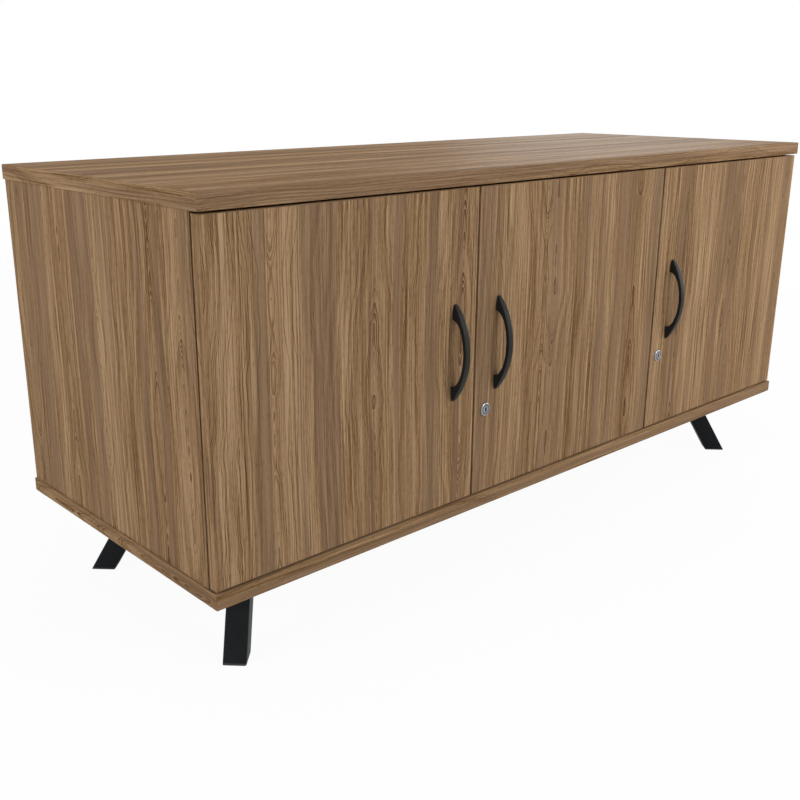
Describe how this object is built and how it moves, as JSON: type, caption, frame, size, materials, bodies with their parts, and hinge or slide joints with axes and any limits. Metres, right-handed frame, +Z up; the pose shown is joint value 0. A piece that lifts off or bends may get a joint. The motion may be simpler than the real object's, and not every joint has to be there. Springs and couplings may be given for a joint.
{
  "type": "office credenza",
  "caption": "Low office credenza with wood-grain doors on concealed hinges, black bow handles, cam locks, inner partitions and shelves, on splayed square-tube legs.",
  "frame": {"origin": "on the floor under the middle of the whole outline, handles included", "axes": "+X to the right when facing the doors, +Y from the doors to the back, +Z up"},
  "size_m": [1.6, 0.6288, 0.74],
  "materials": {
    "laminate_level": "matt wood-grain melamine, grain along the length",
    "laminate_upright": "matt wood-grain melamine, upright grain",
    "leg_paint": "fine-textured black powder coat",
    "foot_plastic": "matt black",
    "handle_black": "satin charcoal black",
    "lock_chrome": "bright chrome",
    "hinge_steel": "bright nickel-plated steel"
  },
  "bodies": {
    "carcass": {"top_panel": "laminate_level", "bottom_panel": "laminate_level", "left_side_panel": "laminate_upright", "right_side_panel": "laminate_upright", "left_partition": "laminate_upright", "right_partition": "laminate_upright", "back_panel": "laminate_upright", "left_shelf": "laminate_level", "middle_shelf": "laminate_level", "right_shelf": "laminate_level", "front_left_leg": "leg_paint", "front_right_leg": "leg_paint", "rear_left_leg": "leg_paint", "rear_right_leg": "leg_paint", "front_left_leg_plug": "foot_plastic", "front_right_leg_plug": "foot_plastic", "rear_left_leg_plug": "foot_plastic", "rear_right_leg_plug": "foot_plastic", "middle_lock_strike": "hinge_steel", "right_lock_strike": "hinge_steel", "left_upper_hinge_arm": "hinge_steel", "left_upper_hinge_plate": "hinge_steel", "left_lower_hinge_arm": "hinge_steel", "left_lower_hinge_plate": "hinge_steel", "middle_upper_hinge_arm": "hinge_steel", "middle_upper_hinge_plate": "hinge_steel", "middle_lower_hinge_arm": "hinge_steel", "middle_lower_hinge_plate": "hinge_steel", "right_upper_hinge_arm": "hinge_steel", "right_upper_hinge_plate": "hinge_steel", "right_lower_hinge_arm": "hinge_steel", "right_lower_hinge_plate": "hinge_steel"},
    "left_outer_links": {"left_upper_hinge_outer_link": "hinge_steel", "left_lower_hinge_outer_link": "hinge_steel"},
    "left_inner_links": {"left_upper_hinge_inner_link": "hinge_steel", "left_lower_hinge_inner_link": "hinge_steel"},
    "left_door_set": {"left_door": "laminate_upright", "left_handle": "handle_black", "left_upper_hinge_cup": "hinge_steel", "left_lower_hinge_cup": "hinge_steel"},
    "middle_outer_links": {"middle_upper_hinge_outer_link": "hinge_steel", "middle_lower_hinge_outer_link": "hinge_steel"},
    "middle_inner_links": {"middle_upper_hinge_inner_link": "hinge_steel", "middle_lower_hinge_inner_link": "hinge_steel"},
    "middle_door_set": {"middle_door": "laminate_upright", "middle_handle": "handle_black", "middle_upper_hinge_cup": "hinge_steel", "middle_lower_hinge_cup": "hinge_steel", "middle_lock_housing": "lock_chrome"},
    "middle_lock": {"middle_lock_plug": "lock_chrome"},
    "right_outer_links": {"right_upper_hinge_outer_link": "hinge_steel", "right_lower_hinge_outer_link": "hinge_steel"},
    "right_inner_links": {"right_upper_hinge_inner_link": "hinge_steel", "right_lower_hinge_inner_link": "hinge_steel"},
    "right_door_set": {"right_door": "laminate_upright", "right_handle": "handle_black", "right_upper_hinge_cup": "hinge_steel", "right_lower_hinge_cup": "hinge_steel", "right_lock_housing": "lock_chrome"},
    "right_lock": {"right_lock_plug": "lock_chrome"}
  },
  "joints": [
    {"name": "left_outer_links_turn", "type": "hinge", "parent": "carcass", "child": "left_outer_links", "pos_m": [-0.7628, -0.25883, 0.445], "axis": [0, 0, 1], "range_deg": [0, 29.2]},
    {"name": "left_door_swing", "type": "hinge", "parent": "left_outer_links", "child": "left_door_set", "pos_m": [-0.785, -0.27022, 0.445], "axis": [0, 0, -1], "range_deg": [0, 124]},
    {"name": "left_inner_links_turn", "type": "hinge", "parent": "carcass", "child": "left_inner_links", "pos_m": [-0.7585, -0.25233, 0.445], "axis": [0, 0, 1], "range_deg": [0, 33.2]},
    {"name": "middle_outer_links_turn", "type": "hinge", "parent": "carcass", "child": "middle_outer_links", "pos_m": [0.2303, -0.25883, 0.445], "axis": [0, 0, -1], "range_deg": [0, 29.2]},
    {"name": "middle_door_swing", "type": "hinge", "parent": "middle_outer_links", "child": "middle_door_set", "pos_m": [0.2525, -0.27022, 0.445], "axis": [0, 0, 1], "range_deg": [0, 124]},
    {"name": "middle_inner_links_turn", "type": "hinge", "parent": "carcass", "child": "middle_inner_links", "pos_m": [0.226, -0.25233, 0.445], "axis": [0, 0, -1], "range_deg": [0, 33.2]},
    {"name": "middle_lock_turn", "type": "hinge", "parent": "middle_door_set", "child": "middle_lock", "pos_m": [-0.237, -0.26412, 0.3295], "axis": [0, 1, 0], "range_deg": [0, 90]},
    {"name": "right_outer_links_turn", "type": "hinge", "parent": "carcass", "child": "right_outer_links", "pos_m": [0.7628, -0.25883, 0.445], "axis": [0, 0, -1], "range_deg": [0, 29.2]},
    {"name": "right_door_swing", "type": "hinge", "parent": "right_outer_links", "child": "right_door_set", "pos_m": [0.785, -0.27022, 0.445], "axis": [0, 0, 1], "range_deg": [0, 124]},
    {"name": "right_inner_links_turn", "type": "hinge", "parent": "carcass", "child": "right_inner_links", "pos_m": [0.7585, -0.25233, 0.445], "axis": [0, 0, -1], "range_deg": [0, 33.2]},
    {"name": "right_lock_turn", "type": "hinge", "parent": "right_door_set", "child": "right_lock", "pos_m": [0.2955, -0.26412, 0.3295], "axis": [0, 1, 0], "range_deg": [0, 90]}
  ],
  "couplings": [
    {"joint": "left_outer_links_turn", "follows": "left_door_swing", "ratio": 0.23372},
    {"joint": "left_inner_links_turn", "follows": "left_door_swing", "ratio": 0.2659},
    {"joint": "middle_outer_links_turn", "follows": "middle_door_swing", "ratio": 0.23372},
    {"joint": "middle_inner_links_turn", "follows": "middle_door_swing", "ratio": 0.2659},
    {"joint": "right_outer_links_turn", "follows": "right_door_swing", "ratio": 0.23372},
    {"joint": "right_inner_links_turn", "follows": "right_door_swing", "ratio": 0.2659}
  ]
}
